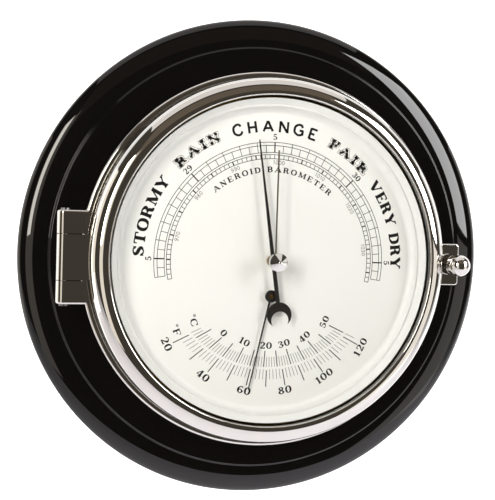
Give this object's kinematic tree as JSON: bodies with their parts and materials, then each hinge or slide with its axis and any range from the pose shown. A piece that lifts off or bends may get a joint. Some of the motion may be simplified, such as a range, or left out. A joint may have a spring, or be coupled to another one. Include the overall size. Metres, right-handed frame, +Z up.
{
  "type": "ship barometer with thermometer",
  "caption": "Round ship's barometer on a black lacquered board, with a hinged glazed bezel held by a knurled screw, an aneroid movement, a set pointer and a dial thermometer.",
  "frame": {"origin": "centre of the board's back face, on the wall and on the dial's axis", "axes": "+Z up the dial, +Y out of the back towards the wall, -Y out of the glass towards the reader, +X to the reader's right"},
  "size_m": [0.185, 0.041, 0.185],
  "materials": {
    "board_lacquer": "black gloss lacquer on wood",
    "case_plate": "polished and chrome plated brass",
    "knob_plate": "polished and chrome plated brass",
    "pin_steel": "turned steel",
    "screw_steel": "zinc plated steel",
    "hanger_steel": "pressed and zinc plated steel",
    "cup_brass": "spun and lacquered brass",
    "dial_enamel": "matt white enamel, printed in black",
    "ring_enamel": "satin white enamel",
    "hand_black": "black painted brass",
    "hand_brass": "brushed brass",
    "arbor_brass": "turned brass",
    "plate_brass": "brushed brass sheet",
    "capsule_metal": "pressed nickel silver",
    "spring_steel": "blued spring steel",
    "bimetal": "rolled bimetal strip",
    "clear_glass": "clear flat glass",
    "seal_rubber": "soft black rubber",
    "retainer_black": "black painted steel"
  },
  "bodies": {
    "case": {"base_board": "board_lacquer", "hanger_plate": "hanger_steel", "hanger_screws": "screw_steel", "case_screws": "screw_steel", "case_ring": "case_plate", "case_cup": "cup_brass", "door_seal": "seal_rubber", "hinge_pin": "pin_steel", "dial_plate": "dial_enamel", "dial_ring": "ring_enamel", "base_plate": "plate_brass", "movement_screws": "screw_steel", "capsule_seat": "arbor_brass", "aneroid_capsule": "capsule_metal", "spring_pillar": "arbor_brass", "spring_clamp": "arbor_brass", "rocker_bracket": "plate_brass", "bridge_pillars": "arbor_brass", "lower_bridge": "plate_brass", "bridge_screws": "screw_steel", "train_pillars": "arbor_brass", "upper_bridge": "plate_brass", "hairspring": "spring_steel", "thermometer_bracket": "plate_brass", "bimetal_coil": "bimetal"},
    "door": {"bezel_ring": "case_plate", "glass": "clear_glass", "glass_gasket": "seal_rubber", "glass_retainer": "retainer_black"},
    "set_pointer": {"set_knob": "knob_plate", "set_shaft": "arbor_brass", "set_washer": "seal_rubber", "set_hand": "hand_brass", "set_nut": "arbor_brass"},
    "screw_slider": {"screw_washer": "pin_steel", "screw_clip": "pin_steel"},
    "screw": {"closing_screw": "knob_plate"},
    "pointer": {"barometer_hand": "hand_black", "hand_collet": "arbor_brass", "pointer_arbor": "pin_steel"},
    "thermometer": {"thermometer_hand": "hand_black", "thermometer_hub": "hand_black", "thermometer_arbor": "arbor_brass"},
    "lever": {"main_spring": "spring_steel", "main_lever": "plate_brass", "capsule_stud": "arbor_brass"},
    "rocker": {"rocking_bar": "pin_steel"},
    "pull_chain": {"chain": "pin_steel"},
    "adjuster": {"adjusting_screw": "screw_steel"}
  },
  "joints": [
    {"name": "bezel_hinge", "type": "hinge", "parent": "case", "child": "door", "pos_m": [-0.076, -0.0262, 0], "axis": [0, 0, -1], "range_deg": [0, 165]},
    {"name": "set_turn", "type": "hinge", "parent": "door", "child": "set_pointer", "pos_m": [0, -0.033, 0], "axis": [0, 1, 0], "continuous": true},
    {"name": "screw_travel", "type": "slide", "parent": "door", "child": "screw_slider", "axis": [0, -1, 0], "range_m": [0, 0.0021]},
    {"name": "closing_turn", "type": "hinge", "parent": "screw_slider", "child": "screw", "pos_m": [0.0721, -0.0304, 0], "axis": [0, -1, 0], "range_deg": [0, 1100]},
    {"name": "pointer_turn", "type": "hinge", "parent": "case", "child": "pointer", "pos_m": [0, -0.025, 0], "axis": [0, 1, 0], "range_deg": [-90.5, 107.5]},
    {"name": "lever_swing", "type": "hinge", "parent": "case", "child": "lever", "pos_m": [-0.024, -0.01625, 0], "axis": [0, 0, 1], "range_deg": [-0.75, 0.9]},
    {"name": "rocker_swing", "type": "hinge", "parent": "case", "child": "rocker", "pos_m": [0.024, -0.0125, 0], "axis": [0, 0, 1], "range_deg": [-8.4, 7.1]},
    {"name": "chain_pull", "type": "slide", "parent": "case", "child": "pull_chain", "axis": [1, 0, 0], "range_m": [-0.0014, 0.0012]},
    {"name": "thermometer_turn", "type": "hinge", "parent": "case", "child": "thermometer", "pos_m": [0, -0.024, -0.0132], "axis": [0, -1, 0], "range_deg": [-52.8, 77.1]},
    {"name": "adjusting_turn", "type": "hinge", "parent": "case", "child": "adjuster", "pos_m": [-0.0035, -0.005, 0], "axis": [0, 1, 0], "range_deg": [-360, 360]}
  ],
  "couplings": [
    {"joint": "closing_turn", "follows": "screw_travel", "rad_per_m": 8976},
    {"joint": "lever_swing", "follows": "pointer_turn", "ratio": 0.0079576},
    {"joint": "rocker_swing", "follows": "pointer_turn", "ratio": -0.076923},
    {"joint": "chain_pull", "follows": "pointer_turn", "m_per_rad": -0.0007}
  ]
}
